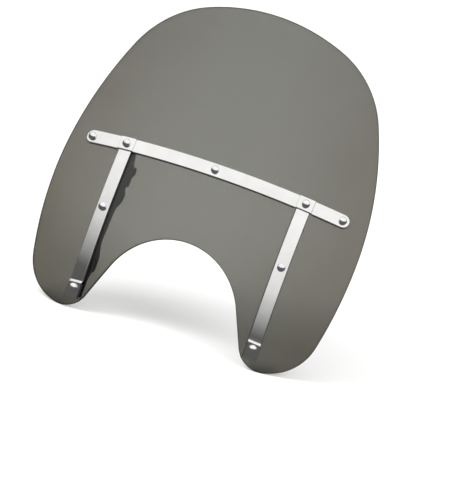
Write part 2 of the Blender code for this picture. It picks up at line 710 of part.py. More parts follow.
# The latches, each built about its pivot
lever_low = PLATE_X + PLATE_THICKNESS + WAVE_THICKNESS + 2 * 0.15 * MM
lever_high = lever_low + LATCH_THICKNESS
head_low = lever_high + WAVE_THICKNESS + 2 * 0.15 * MM
along_x = Matrix.Rotation(math.pi / 2, 4, "Y")
tab_way = Matrix.Rotation(math.radians(36.87), 4, "X")
tab_centre = Vector((0, 49.6 * MM, 2.2 * MM))
for side, sign in SIDES.items():
    pivot_place = PLACE @ Matrix.Translation((0, *PIVOT))
    low, high = sorted((sign * lever_low, sign * lever_high))
    latch = add(f"latch_{side}", prism("latch", latch_outline(), low, high, 9, 2.4 * MM), satin)
    latch.matrix_world = pivot_place
    bevel(latch, 0.5 * MM, 1)
    bm = bmesh.new()
    bore = Matrix.Translation((sign * (lever_low + lever_high) / 2, 0, 0)) @ along_x
    bmesh.ops.create_cone(
        bm,
        cap_ends=True,
        segments=32,
        radius1=PIVOT_RADIUS + PIVOT_RUNNING_GAP,
        radius2=PIVOT_RADIUS + PIVOT_RUNNING_GAP,
        depth=12 * MM,
        matrix=bore,
    )
    hole = add(f"latch_bore_{side}", bmesh_to_mesh(bm, "latch_bore"), collection=cutters)
    hole.matrix_world = pivot_place
    boolean(latch, hole)

    # The rubber grip is a block with a pocket for the finger tab
    middle = sign * (lever_low + lever_high) / 2
    bm = bmesh.new()
    grip_size = (LATCH_THICKNESS + 2 * GRIP_WALL, 20 * MM, 9 * MM + 2 * GRIP_WALL)
    grip_at = Matrix.Translation(tab_centre + Vector((middle, 0, 0))) @ tab_way
    bmesh.ops.create_cube(bm, size=1, matrix=grip_at @ Matrix.Diagonal((*grip_size, 1)))
    grip = add(f"latch_grip_{side}", bmesh_to_mesh(bm, "latch_grip"), rubber)
    grip.matrix_world = pivot_place
    bevel(grip, 1.8 * MM, 2, 40)
    bm = bmesh.new()
    pocket_size = (LATCH_THICKNESS + 2 * 0.2 * MM, 40 * MM, 9 * MM + 2 * 0.2 * MM)
    pocket_at = grip_at @ Matrix.Translation((0, -12.7 * MM, 0))
    bmesh.ops.create_cube(bm, size=1, matrix=pocket_at @ Matrix.Diagonal((*pocket_size, 1)))
    pocket = add(f"grip_pocket_{side}", bmesh_to_mesh(bm, "grip_pocket"), collection=cutters)
    pocket.matrix_world = pivot_place
    boolean(grip, pocket)

    # The pivot: a peened inner end, a shank, and a domed outer head
    inner = PLATE_X - GAP
    pivot_profile = [
        (0, head_low + 2.6 * MM),
        (3.5 * MM, head_low + 2.3 * MM),
        (6.0 * MM, head_low + 1.2 * MM),
        (6.5 * MM, head_low),
        (PIVOT_RADIUS, head_low),
        (PIVOT_RADIUS, inner),
        (5.8 * MM, inner),
        (4.6 * MM, inner - 1.8 * MM),
        (0, inner - 2.0 * MM),
    ]
    pivot = add(f"latch_pivot_{side}", revolved("latch_pivot", pivot_profile, 24), chrome)
    pivot.matrix_world = pivot_place @ Matrix.Rotation(sign * math.pi / 2, 4, "Y")

    # A nylon washer on each side of the latch
    inner_start = PLATE_X + PLATE_THICKNESS + 0.15 * MM
    outer_start = lever_high + 0.15 * MM
    for place, start in (("inner", inner_start), ("outer", outer_start)):
        profile = [
            (PIVOT_RADIUS + GAP, start + WAVE_THICKNESS),
            (7.5 * MM, start + WAVE_THICKNESS),
            (7.5 * MM, start),
            (PIVOT_RADIUS + GAP, start),
        ]
        ring = add(f"latch_washer_{place}_{side}", revolved("latch_washer", profile, 16), nylon)
        ring.matrix_world = pivot.matrix_world

    # The stop pin under the latch's arm
    stop_profile = [
        (0, lever_high),
        (STOP_RADIUS - 0.5 * MM, lever_high),
        (STOP_RADIUS, lever_high - 0.5 * MM),
        (STOP_RADIUS, PLATE_X + PLATE_THICKNESS + GAP),
        (STOP_RADIUS - 0.5 * MM, PLATE_X + PLATE_THICKNESS + GAP),
        (STOP_RADIUS - 0.5 * MM, inner),
        (STOP_RADIUS + 0.6 * MM, inner),
        (STOP_RADIUS, inner - 1.2 * MM),
        (0, inner - 1.4 * MM),
    ]
    stop = add(f"latch_stop_{side}", revolved("latch_stop", stop_profile, 12), zinc)
    stop.matrix_world = PLACE @ Matrix.Translation((0, *STOP)) @ Matrix.Rotation(sign * math.pi / 2, 4, "Y")
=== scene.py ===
import json
import math

import bmesh
import bpy
from mathutils import Matrix, Vector

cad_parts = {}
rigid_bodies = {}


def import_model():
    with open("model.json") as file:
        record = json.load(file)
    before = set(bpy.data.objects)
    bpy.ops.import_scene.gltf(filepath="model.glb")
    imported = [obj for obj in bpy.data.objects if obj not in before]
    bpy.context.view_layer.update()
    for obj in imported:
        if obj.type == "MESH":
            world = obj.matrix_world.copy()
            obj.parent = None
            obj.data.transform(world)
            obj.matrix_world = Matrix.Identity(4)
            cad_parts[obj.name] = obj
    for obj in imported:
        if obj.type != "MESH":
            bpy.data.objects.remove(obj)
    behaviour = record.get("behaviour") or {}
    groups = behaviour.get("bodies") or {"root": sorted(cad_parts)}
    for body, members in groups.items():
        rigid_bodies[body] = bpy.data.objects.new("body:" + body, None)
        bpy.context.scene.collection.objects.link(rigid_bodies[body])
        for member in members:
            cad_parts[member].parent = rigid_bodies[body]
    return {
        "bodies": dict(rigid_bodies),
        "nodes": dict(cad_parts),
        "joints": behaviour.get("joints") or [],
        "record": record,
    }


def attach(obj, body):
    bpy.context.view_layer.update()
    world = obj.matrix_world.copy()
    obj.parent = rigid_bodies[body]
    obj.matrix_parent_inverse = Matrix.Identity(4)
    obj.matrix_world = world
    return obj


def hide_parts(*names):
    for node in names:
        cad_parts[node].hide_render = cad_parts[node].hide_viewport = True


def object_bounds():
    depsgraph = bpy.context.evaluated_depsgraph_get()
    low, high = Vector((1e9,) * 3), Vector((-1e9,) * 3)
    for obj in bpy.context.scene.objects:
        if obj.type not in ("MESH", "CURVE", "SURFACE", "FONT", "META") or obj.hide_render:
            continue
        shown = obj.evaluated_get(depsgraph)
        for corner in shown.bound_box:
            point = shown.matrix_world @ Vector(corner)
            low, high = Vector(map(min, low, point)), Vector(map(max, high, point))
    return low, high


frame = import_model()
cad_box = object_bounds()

MM = 0.001
GAP = 0.3 * MM

# The layout repeats the CAD's: X across, Y towards the rider and Z up along the straps, measured
# from the middle of the crossbar on the sheet's front face. PLACE moves it to the row frame.
# Its proportions were solved for from the photograph, at the scale that STRAP_X sets.
SHEET_THICKNESS = 4.8 * MM
BOW_RADIUS = 680 * MM
SWEEP_RADIUS = 890 * MM
CROWN_HEIGHT = 318 * MM
# The outline runs down its side from the crown as six arcs, fitted to the photographed outline by
# least squares and then rounded. An arc is a radius in mm and a sweep in degrees.
OUTLINE_ARCS = (
    (405.0, 19.0),
    (181.0, 48.0),
    (676.0, 23.5),
    (757.0, 11.8),
    (102.0, 64.5),
    (45.5, 56.2),
)
ARCH_RADIUS = 134 * MM
ARCH_CENTRE_Z = -276 * MM
ARCH_FLARE = 24.0
SHEET_REACH = 320 * MM
SHEET_GRID = 9 * MM
# The width of the band along the rim that is tinted near black: painted shade along the outline.
RIM_SHADE_BAND = 1.3 * MM
SHEET_FILLET = 1.0 * MM
GASKET_FILLET = 0.25 * MM
PAD_FILLET = 0.6 * MM

STRAP_WIDTH = 25.4 * MM
STRAP_THICKNESS = 3.0 * MM
STRAP_FILLET = 1.45 * MM
GASKET_THICKNESS = 1.2 * MM
# The gaskets reach past the straps' edges so a black rim shows round every strap: a real rubber strip,
# widened as painted shade for the shade along the straps' edges.
GASKET_SPILL = 0.8 * MM
STRAP_X = 172.5 * MM
STRAP_TOP = 11.0 * MM
MID_Z = -123.7 * MM
FOOT_Z = -274.5 * MM
FOOT_BELOW = 18.5 * MM
FOOT_ABOVE = 9.5 * MM
FOOT_RISE = 3.5 * MM
END_X = 242.4 * MM
JOGGLE_FLAT = 13.6 * MM
JOGGLE_RUN = 2.2 * MM
FOOT_RUN = 4.0 * MM

GASKET_BASE = GAP
STRAP_BASE = GASKET_BASE + GASKET_THICKNESS + GAP
STRAP_FACE = STRAP_BASE + STRAP_THICKNESS
CROSS_RISE = STRAP_THICKNESS + GAP
REAR_GASKET_BASE = -SHEET_THICKNESS - GAP - GASKET_THICKNESS
FLANGE_BASE = REAR_GASKET_BASE - GAP - STRAP_THICKNESS

SHANK_RADIUS = 3.9 * MM
STRAP_HOLE = 4.3 * MM
GASKET_HOLE = 4.7 * MM
SHEET_HOLE = 6.3 * MM
GROMMET_RADIUS = 5.9 * MM
GROMMET_BORE = 4.3 * MM
FLANGE_RADIUS = 9.5 * MM
WASHER_RADIUS = 10.0 * MM
WASHER_THICKNESS = 1.5 * MM
HEAD_RADIUS = 7.0 * MM
HEAD_HEIGHT = 4.0 * MM
SOCKET_RADIUS = 2.9 * MM
SOCKET_DEPTH = 2.2 * MM
CAP_RADIUS = 7.7 * MM
CAP_SKIRT = 1.6 * MM
DOME_HEIGHT = 5.4 * MM
NUT_BORE = 4.2 * MM
NUT_BORE_DEPTH = 4.8 * MM
THREAD_ENGAGED = 4.2 * MM

BRACKET_HALF_WIDTH = 11.0 * MM
BRACKET_BOTTOM = -288 * MM
PLATE_X = 159.0 * MM
PLATE_THICKNESS = 3.0 * MM
SLOT_RADIUS = 7.0 * MM
SLOT_LENGTH = 30 * MM
UPPER_SEAT = (82.0 * MM, -60.0 * MM)
LOWER_SEAT = (84.0 * MM, -213.0 * MM)
LOWER_SLOT_TURN = -60.0
PIVOT = (62.0 * MM, -22.0 * MM)
PIVOT_RADIUS = 4.0 * MM
PIVOT_RUNNING_GAP = 0.08 * MM
LATCH_THICKNESS = 3.0 * MM
LATCH_BOSS = 9.0 * MM
LATCH_WASHER = 1.0 * MM
LATCH_WASHER_GAP = 0.15 * MM
STOP_RADIUS = 2.5 * MM
STOP = (PIVOT[0] + 7.32 * MM, PIVOT[1] - 13.72 * MM)
TAB_WIDTH = 9 * MM
GRIP_WALL = 2.6 * MM
GRIP_LENGTH = 20 * MM
GRIP_FIT = 0.2 * MM
GRIP_RIB_PITCH = 2.6 * MM

RAKE = 30.0
DOCKING_CENTRE = (Vector((0, *UPPER_SEAT)) + Vector((0, *LOWER_SEAT))) / 2
PLACE = Matrix.Rotation(math.radians(-RAKE), 4, "X") @ Matrix.Translation(-DOCKING_CENTRE)

FASTENERS = {
    "end_left": (END_X, 0.0),
    "cross_left": (STRAP_X, 0.0),
    "centre": (0.0, 0.0),
    "cross_right": (-STRAP_X, 0.0),
    "end_right": (-END_X, 0.0),
    "mid_left": (STRAP_X, MID_Z),
    "mid_right": (-STRAP_X, MID_Z),
    "foot_left": (STRAP_X, FOOT_Z),
    "foot_right": (-STRAP_X, FOOT_Z),
}
FREE_FASTENERS = ("end_left", "centre", "end_right")
SIDES = {"left": 1, "right": -1}

scratch = bpy.data.collections.new("scratch")
bpy.context.scene.collection.children.link(scratch)


def sheet_depth(x, z):
    """How far the sheet's front face lies behind the middle of the crossbar."""
    low = min(z, 0.0)
    bow = BOW_RADIUS - math.sqrt(BOW_RADIUS**2 - x**2)
    return bow + SWEEP_RADIUS - math.sqrt(SWEEP_RADIUS**2 - low**2)


def sheet_axes(x, z):
    """Unit vectors on the front face: across, up and out of the face."""
    low = min(z, 0.0)
    slope_x = x / math.sqrt(BOW_RADIUS**2 - x**2)
    slope_z = low / math.sqrt(SWEEP_RADIUS**2 - low**2)
    out = Vector((slope_x, -1.0, slope_z)).normalized()
    across = Vector((1.0, slope_x, 0.0)).normalized()
    return across, out.cross(across).normalized(), out


def on_sheet(x, z, height):
    return Vector((x, sheet_depth(x, z), z)) + sheet_axes(x, z)[2] * height


def fastener_frame(name):
    """A frame on the sheet's front face with Z out along the fastener's axis."""
    x, z = FASTENERS[name]
    turn = Matrix(sheet_axes(x, z)).transposed().to_4x4()
    return Matrix.Translation(on_sheet(x, z, 0)) @ turn


def blank(name, mesh):
    """A scratch object to cut and bevel."""
    made = bpy.data.objects.new(name, mesh)
    scratch.objects.link(made)
    return made


def bmesh_to_mesh(bm, name):
    bmesh.ops.recalc_face_normals(bm, faces=bm.faces)
    mesh = bpy.data.meshes.new(name)
    bm.to_mesh(mesh)
    bm.free()
    return mesh


def boolean(target, cutter, operation="DIFFERENCE"):
    step = target.modifiers.new(operation.lower(), "BOOLEAN")
    step.operation = operation
    step.solver = "EXACT"
    step.object = cutter


def bevel(target, width, segments, angle=40):
    step = target.modifiers.new("edges", "BEVEL")
    step.width = width
    step.segments = segments
    step.limit_method = "ANGLE"
    step.angle_limit = math.radians(angle)


def baked(target):
    """The target's mesh with its modifiers applied."""
    bpy.context.view_layer.update()
    graph = bpy.context.evaluated_depsgraph_get()
    return bpy.data.meshes.new_from_object(target.evaluated_get(graph))


def finish(node, source, finishes, body="screen", place=PLACE, crease=32):
    """Makes the visible piece that stands for one CAD node, riding on its body."""
    for face in source.data.polygons:
        face.use_smooth = True
    weigh = source.modifiers.new("normals", "WEIGHTED_NORMAL")
    weigh.keep_sharp = True
    source.data.set_sharp_from_angle(angle=math.radians(crease))
    mesh = baked(source)
    mesh.transform(place)
    mesh.name = f"{node}_detailed"
    kept = [min(face.material_index, len(finishes) - 1) for face in mesh.polygons]
    mesh.materials.clear()
    for finish_material in finishes:
        mesh.materials.append(finish_material)
    for face, index in zip(mesh.polygons, kept):
        face.material_index = index
    piece = bpy.data.objects.new(f"{node}_detailed", mesh)
    bpy.context.scene.collection.objects.link(piece)
    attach(piece, body)
    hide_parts(node)
    return piece


def revolved(name, profile, steps):
    """A mesh turned about Z from (radius, height) points that run down its outer side."""
    bm = bmesh.new()
    points = [bm.verts.new((radius, 0, height)) for radius, height in profile]
    ring = points + [points[0]]
    edges = [bm.edges.new(pair) for pair in zip(ring, ring[1:])]
    bmesh.ops.spin(
        bm,
        geom=points + edges,
        cent=(0, 0, 0),
        axis=(0, 0, 1),
        angle=2 * math.pi,
        steps=steps,
        use_merge=True,
    )
    bmesh.ops.remove_doubles(bm, verts=bm.verts, dist=0.00001)
    flat = [face for face in bm.faces if face.calc_area() < 1e-13]
    bmesh.ops.delete(bm, geom=flat, context="FACES")
    return bmesh_to_mesh(bm, name)


def cylinder(name, radius, depth, frame, steps=48):
    bm = bmesh.new()
    bmesh.ops.create_cone(
        bm,
        cap_ends=True,
        segments=steps,
        radius1=radius,
        radius2=radius,
        depth=depth,
        matrix=frame,
    )
    return blank(name, bmesh_to_mesh(bm, name))


def block(name, size, frame):
    bm = bmesh.new()
    bmesh.ops.create_cube(bm, size=1, matrix=frame @ Matrix.Diagonal((*size, 1)))
    return blank(name, bmesh_to_mesh(bm, name))


def prism(name, outline, x_low, x_high, rounded=0, radius=0.0):
    """A plate with a (Y, Z) outline between two X positions, its last corners rounded."""
    bm = bmesh.new()
    corners = [bm.verts.new((x_low, y, z)) for y, z in outline]
    bm.faces.new(corners)
    if rounded:
        soft = corners[-rounded:]
        bmesh.ops.bevel(bm, geom=soft, offset=radius, segments=8, profile=0.5, affect="VERTICES")
    raised = bmesh.ops.extrude_face_region(bm, geom=list(bm.faces), use_keep_orig=True)
    moved = [item for item in raised["geom"] if isinstance(item, bmesh.types.BMVert)]
    bmesh.ops.translate(bm, verts=moved, vec=(x_high - x_low, 0, 0))
    return bmesh_to_mesh(bm, name)


def loft(name, stations):
    """A bar of rectangular section through (centre, side vector, rise vector) stations."""
    bm = bmesh.new()
    rings = []
    for centre, side, rise in stations:
        corners = (centre - side, centre + side, centre + side + rise, centre - side + rise)
        rings.append([bm.verts.new(corner) for corner in corners])
    for ring, following in zip(rings, rings[1:]):
        for k in range(4):
            j = (k + 1) % 4
            bm.faces.new((ring[k], ring[j], following[j], following[k]))
    bm.faces.new(rings[0])
    bm.faces.new(rings[-1])
    return bmesh_to_mesh(bm, name)


def spaced(start, end, pitch):
    count = max(1, math.ceil(abs(end - start) / pitch))
    return [start + (end - start) * k / count for k in range(count + 1)]


def ease(share):
    """A smooth step from 0 to 1."""
    return 0.5 - 0.5 * math.cos(math.pi * min(max(share, 0.0), 1.0))


def arc_chain(start, heading, arcs, pitch):
    """Points along clockwise arcs of (radius in mm, sweep in degrees) from a start point."""
    x, z = start
    points = [(x, z)]
    for radius, sweep in arcs:
        steps = max(3, math.ceil(radius * MM * math.radians(sweep) / pitch), math.ceil(sweep / 4))
        turn = math.radians(sweep) / steps
        chord = 2 * radius * MM * math.sin(turn / 2)
        for _ in range(steps):
            x += chord * math.cos(heading - turn / 2)
            z += chord * math.sin(heading - turn / 2)
            heading -= turn
            points.append((x, z))
    return points


def sheet_outline():
    """The screen's whole outline as (X, Z) points, from the crown clockwise and back."""
    side = arc_chain((0.0, CROWN_HEIGHT), 0.0, OUTLINE_ARCS, 6 * MM)
    flare = math.radians(ARCH_FLARE)
    arch_sweep = 90 - ARCH_FLARE
    arch = []
    for k in range(1, 33):
        angle = flare + math.radians(arch_sweep) * k / 32
        arch.append((ARCH_RADIUS * math.cos(angle), ARCH_CENTRE_Z + ARCH_RADIUS * math.sin(angle)))
    tangent = (ARCH_RADIUS * math.cos(flare), ARCH_CENTRE_Z + ARCH_RADIUS * math.sin(flare))
    corner_x, corner_z = side[-1]
    foot_z = corner_z + 9 * MM
    foot = (tangent[0] + math.tan(flare) * (tangent[1] - foot_z), foot_z)
    half = side + [foot, tangent] + arch[:-1]
    crown_of_arch = [(0.0, ARCH_CENTRE_Z + ARCH_RADIUS)]
    mirrored = [(-x, z) for x, z in reversed(half[1:])]
    return half + crown_of_arch + mirrored


def sheet_mesh():
    """The outline filled, cut along a fine grid, and bent to the bow and the sweep."""
    bm = bmesh.new()
    plate = bm.faces.new([bm.verts.new((x, 0, z)) for x, z in sheet_outline()])
    plate.normal_update()
    margin = bmesh.ops.inset_region(
        bm, faces=[plate], thickness=RIM_SHADE_BAND, use_even_offset=True, use_boundary=True
    )
    # The band along the rim takes the second slot, a near-black tint: painted shade along the outline.
    for face in margin["faces"]:
        face.material_index = 1
    reach = math.floor(SHEET_REACH / SHEET_GRID)
    cuts = [((k * SHEET_GRID, 0, 0), (1, 0, 0)) for k in range(-reach, reach + 1)]
    cuts += [((0, 0, k * SHEET_GRID), (0, 0, 1)) for k in range(-reach, reach + 1)]
    for point, normal in cuts:
        everything = list(bm.verts) + list(bm.edges) + list(bm.faces)
        bmesh.ops.bisect_plane(bm, geom=everything, dist=0.00002, plane_co=point, plane_no=normal)
    bmesh.ops.remove_doubles(bm, verts=bm.verts, dist=0.00005)
    for vert in bm.verts:
        vert.co.y = sheet_depth(vert.co.x, vert.co.z)
    for face in bm.faces:
        face.normal_update()
        if face.normal.y > 0:
            face.normal_flip()
    mesh = bpy.data.meshes.new("sheet")
    bm.to_mesh(mesh)
    bm.free()
    return mesh


def upright_strip(x, tops, half_width, thickness, height_at):
    """A bar that runs down the sheet at one X, its inner face at a height above the sheet."""
    stations = []
    for z in tops:
        across, _, out = sheet_axes(x, z)
        stations.append((on_sheet(x, z, height_at(z)), across * half_width, out * thickness))
    return stations


def rounded_bar(name, stations, half_width_at, thickness, place_at, fillet, steps=4):
    """A strip with every edge rounded. place_at gives the point (along, across, height)."""
    side = [(along, half_width_at(along)) for along in stations]
    outline = [Vector(pair) for pair in side + [(s, -w) for s, w in reversed(side)]]
    count = len(outline)
    turn = 1 if stations[0] > stations[-1] else -1
    inward = []
    for index, here in enumerate(outline):
        behind = (here - outline[index - 1]).normalized()
        ahead = (outline[(index + 1) % count] - here).normalized()
        along = (ahead + behind).normalized()
        inward.append(Vector((-along.y, along.x)) * turn / along.dot(ahead))
    levels = []
    for centre, first in ((fillet, -90), (thickness - fillet, 0)):
        for k in range(steps + 1):
            angle = math.radians(first + 90 * k / steps)
            levels.append((fillet * (1 - math.cos(angle)), centre + fillet * math.sin(angle)))
    bm = bmesh.new()
    rings = []
    for inset, height in levels:
        spots = [here + way * inset for here, way in zip(outline, inward)]
        rings.append([bm.verts.new(place_at(spot.x, spot.y, height)) for spot in spots])
    for low, high in zip(rings, rings[1:]):
        for k in range(count):
            bm.faces.new((low[k - 1], low[k], high[k], high[k - 1]))
    for ring in (rings[0], rings[-1]):
        for k in range(count // 2 - 1):
            bm.faces.new((ring[k], ring[k + 1], ring[count - 2 - k], ring[count - 1 - k]))
    return bmesh_to_mesh(bm, name)


def down_sheet(x, height_at):
    """Where a point of an upright strip at one X lies: along is Z."""

    def place_at(along, across, height):
        return on_sheet(x, along, height_at(along) + height) + sheet_axes(x, along)[0] * across

    return place_at


def across_sheet(height_at):
    """Where a point of a strip along the crossbar lies: along is X."""

    def place_at(along, across, height):
        return on_sheet(along, 0, height_at(along) + height) + sheet_axes(along, 0)[1] * across

    return place_at


def strap_height(z):
    """The strap's inner face: flat along the sheet, then raised over the foot pad."""
    bend = FOOT_Z + FOOT_ABOVE
    return STRAP_BASE + FOOT_RISE * ease((bend + FOOT_RUN - z) / FOOT_RUN)


def strap_levels():
    bend = FOOT_Z + FOOT_ABOVE
    upper = spaced(STRAP_TOP, 0.0, 6 * MM) + spaced(0.0, bend + FOOT_RUN, 6 * MM)[1:]
    joggle = spaced(bend + FOOT_RUN, bend, 0.5 * MM)[1:]
    return upper + joggle + spaced(bend, FOOT_Z - FOOT_BELOW, 6 * MM)[1:]


def crossbar_height(x):
    reach = abs(abs(x) - STRAP_X) - JOGGLE_FLAT
    return STRAP_BASE + CROSS_RISE * ease(ease(1 - reach / JOGGLE_RUN))


def crossbar_half_width(x, spill=0.0):
    past = abs(x) - END_X
    half = STRAP_WIDTH / 2 + spill
    return half if past <= 0 else math.sqrt(max(half**2 - past**2, (0.16 * half) ** 2))


def tip_stations(radius):
    """Stations around the rounded end of the crossbar or of its gasket."""
    angles = [7.5 * k for k in range(1, 11)] + [80.8]
    return [END_X + radius * math.sin(math.radians(angle)) for angle in angles]


def crossbar_stations():
    inner = STRAP_X - JOGGLE_FLAT - JOGGLE_RUN
    outer = STRAP_X + JOGGLE_FLAT + JOGGLE_RUN
    half = spaced(0.0, inner, 6 * MM)
    half += spaced(inner, inner + JOGGLE_RUN, 0.15 * MM)[1:]
    half += spaced(inner + JOGGLE_RUN, outer - JOGGLE_RUN, 6 * MM)[1:]
    half += spaced(outer - JOGGLE_RUN, outer, 0.15 * MM)[1:]
    half += spaced(outer, END_X, 6 * MM)[1:]
    half += tip_stations(STRAP_WIDTH / 2)
    return [-x for x in reversed(half[1:])] + half


def drill(name, radius, steps=40):
    """One cutter with a cylinder along each fastener's axis."""
    bm = bmesh.new()
    for fastener in FASTENERS:
        bmesh.ops.create_cone(
            bm,
            cap_ends=True,
            segments=steps,
            radius1=radius,
            radius2=radius,
            depth=50 * MM,
            matrix=fastener_frame(fastener),
        )
    return blank(name, bmesh_to_mesh(bm, name))


def capsule(name, seat, turn, sign):
    """A cutter for an open-ended slot: a half-round seat with straight sides."""
    y, z = seat
    way = math.radians(turn)
    outline = []
    for k in range(25):
        angle = way + math.pi / 2 + math.pi * k / 24
        outline.append((y + SLOT_RADIUS * math.cos(angle), z + SLOT_RADIUS * math.sin(angle)))
    for side in (-1, 1):
        along = (SLOT_LENGTH * math.cos(way), SLOT_LENGTH * math.sin(way))
        edge = (-side * SLOT_RADIUS * math.sin(way), side * SLOT_RADIUS * math.cos(way))
        outline.append((y + along[0] + edge[0], z + along[1] + edge[1]))
    low, high = sorted((sign * (PLATE_X - 5 * MM), sign * (PLATE_X + PLATE_THICKNESS + 5 * MM)))
    return blank(name, prism(name, outline, low, high))


def cross_pin(name, centre, radius, sign):
    """A cutter along X through the bracket's plate."""
    middle = sign * (PLATE_X + PLATE_THICKNESS / 2)
    frame = Matrix.Translation((middle, *centre)) @ Matrix.Rotation(math.pi / 2, 4, "Y")
    return cylinder(name, radius, 20 * MM, frame)


def plate_outline():
    """The bracket's side plate: it follows the sheet in front and reaches back to the slots."""
    root = PLATE_X + PLATE_THICKNESS / 2
    setback = -FLANGE_BASE - STRAP_THICKNESS / 2
    front = [
        (sheet_depth(root, z) + setback * (1 + 0.03 * z / BRACKET_BOTTOM), z)
        for z in spaced(BRACKET_BOTTOM + 4 * MM, STRAP_TOP - 4 * MM, 12 * MM)
    ]
    upper_y, upper_z = UPPER_SEAT
    lower_y, lower_z = LOWER_SEAT
    rear = [
        (front[-1][0] + 14 * MM, STRAP_TOP - 4 * MM),
        (upper_y + 18 * MM, upper_z + 26 * MM),
        (upper_y + 18 * MM, upper_z - 24 * MM),
        (upper_y - 12 * MM, upper_z - 48 * MM),
        (lower_y - 14 * MM, lower_z + 35 * MM),
        (lower_y + 20 * MM, lower_z + 13 * MM),
        (lower_y + 24 * MM, lower_z - 9 * MM),
        (lower_y - 4 * MM, lower_z - 29 * MM),
        (lower_y + 2 * MM, BRACKET_BOTTOM + 4 * MM),
    ]
    return front, rear


def bracket_plate(name, sign):
    """The side plate with its rear corners rounded; its front edge stays inside the flange."""
    low, high = sorted((sign * PLATE_X, sign * (PLATE_X + PLATE_THICKNESS)))
    front, rear = plate_outline()
    outline = rear[-1:] + front + rear[:-1]
    return blank(name, prism(name, outline, low, high, len(rear) - 1, 8 * MM))


def latch_outline():
    """The latch about its pivot as (Y, Z) points: boss, finger tab, and hook across the slot."""
    boss = []
    for k in range(27):
        angle = math.radians(75 + 195 * k / 26)
        boss.append((LATCH_BOSS * math.cos(angle), LATCH_BOSS * math.sin(angle)))
    hook = [(20, -14), (28.5, -21), (28.5, -52), (33, -57), (41, -54), (41, -9.9)]
    tab = [(57.9, 2.8), (52.5, 10.0), (33.3, -4.4)]
    return boss + [(y * MM, z * MM) for y, z in hook + tab]


class Finish:
    """A node material that starts from a Principled shader and adds procedural detail."""

    def __init__(self, name, metallic, roughness):
        self.material = bpy.data.materials.new(name)
        self.material.use_nodes = True
        self.tree = self.material.node_tree
        self.shader = self.tree.nodes["Principled BSDF"]
        self.shader.inputs["Metallic"].default_value = metallic
        self.shader.inputs["Roughness"].default_value = roughness
        self.place = self.tree.nodes.new("ShaderNodeTexCoord").outputs["Object"]

    def link(self, source, target):
        self.tree.links.new(source, target)

    def noise(self, scale, detail=3.0, stretch=None):
        """A noise value over the object, in features per metre, stretched along an axis."""
        texture = self.tree.nodes.new("ShaderNodeTexNoise")
        texture.inputs["Scale"].default_value = scale
        texture.inputs["Detail"].default_value = detail
        if stretch:
            mapping = self.tree.nodes.new("ShaderNodeMapping")
            mapping.inputs["Rotation"].default_value = (math.radians(RAKE), 0, 0)
            mapping.inputs["Scale"].default_value = stretch
            self.link(self.place, mapping.inputs["Vector"])
            self.link(mapping.outputs["Vector"], texture.inputs["Vector"])
        else:
            self.link(self.place, texture.inputs["Vector"])
        return texture.outputs["Fac"]

    def sum(self, operation, first, second):
        """One sum on a node value and a second value or a number."""
        node = self.tree.nodes.new("ShaderNodeMath")
        node.operation = operation
        self.link(first, node.inputs[0])
        if isinstance(second, float):
            node.inputs[1].default_value = second
        else:
            self.link(second, node.inputs[1])
        return node.outputs["Value"]

    def ramp(self, value, low, high, start=0.3, end=0.7):
        """The value spread between two numbers, or two colours."""
        span = self.tree.nodes.new("ShaderNodeValToRGB")
        colours = [c if isinstance(c, tuple) else (c, c, c) for c in (low, high)]
        for element, place, colour in zip(span.color_ramp.elements, (start, end), colours):
            element.position = place
            element.color = (*colour, 1.0)
        self.link(value, span.inputs["Fac"])
        return span.outputs["Color"]

    def colour(self, value, low, high, start=0.3, end=0.7):
        self.link(self.ramp(value, low, high, start, end), self.shader.inputs["Base Color"])

    def roughness(self, value, low, high, start=0.3, end=0.7):
        self.link(self.ramp(value, low, high, start, end), self.shader.inputs["Roughness"])

    def bump(self, layers):
        """Stacks (height value, strength, depth in metres) layers of relief."""
        below = None
        for value, strength, depth in layers:
            relief = self.tree.nodes.new("ShaderNodeBump")
            relief.inputs["Strength"].default_value = strength
            relief.inputs["Distance"].default_value = depth
            self.link(value, relief.inputs["Height"])
            if below:
                self.link(below, relief.inputs["Normal"])
            below = relief.outputs["Normal"]
        self.link(below, self.shader.inputs["Normal"])


def tinted(name, middle, edge):
    """Smoked polycarbonate, glossy and faintly clouded.

    Its tint changes with distance from X = 0; on the sheet it darkens towards the sides. That is
    painted shade for the darker look of a bowed sheet's sides, not a denser sheet.
    """
    made = Finish(name, 0.0, 0.02)
    made.shader.inputs["Transmission Weight"].default_value = 1.0
    made.shader.inputs["IOR"].default_value = 1.58
    across = made.tree.nodes.new("ShaderNodeSeparateXYZ")
    made.link(made.place, across.inputs["Vector"])
    painted_side_shade = made.sum("ABSOLUTE", across.outputs["X"], 0.0)
    clouding = made.sum("MULTIPLY", made.noise(9, 2), 0.10)
    # The ramp over |X| is painted shade: darker towards the sheet's sides.
    made.colour(made.sum("ADD", painted_side_shade, clouding), middle, edge, 0.12, 0.34)
    made.bump([(made.noise(7, 1), 0.5, 0.0006)])
    return made.material


def polished_steel(name, stretch):
    """Polished stainless strip: near a mirror, with fine drawn lines along its length."""
    made = Finish(name, 1.0, 0.06)
    made.colour(made.noise(30, 3), (0.86, 0.855, 0.84), (0.93, 0.925, 0.915))
    lines = made.noise(900, 2, stretch)
    made.roughness(lines, 0.035, 0.085)
    made.bump([(made.noise(28, 1), 0.25, 0.00015), (lines, 0.1, 0.00001)])
    return made.material


# The sheet's second colour, the darker one, is painted shade at its sides.
tint = tinted("smoked_sheet", (0.158, 0.157, 0.138), (0.116, 0.109, 0.089))
# The near-black tint for the rim band is painted shade outlining the sheet.
rim_shade_tint = tinted("smoked_sheet_rim_shade", (0.035, 0.033, 0.026), (0.045, 0.043, 0.034))
polished_across = polished_steel("polished_strip_across", (0.03, 1.0, 1.0))
polished_down = polished_steel("polished_strip_upright", (1.0, 1.0, 0.03))

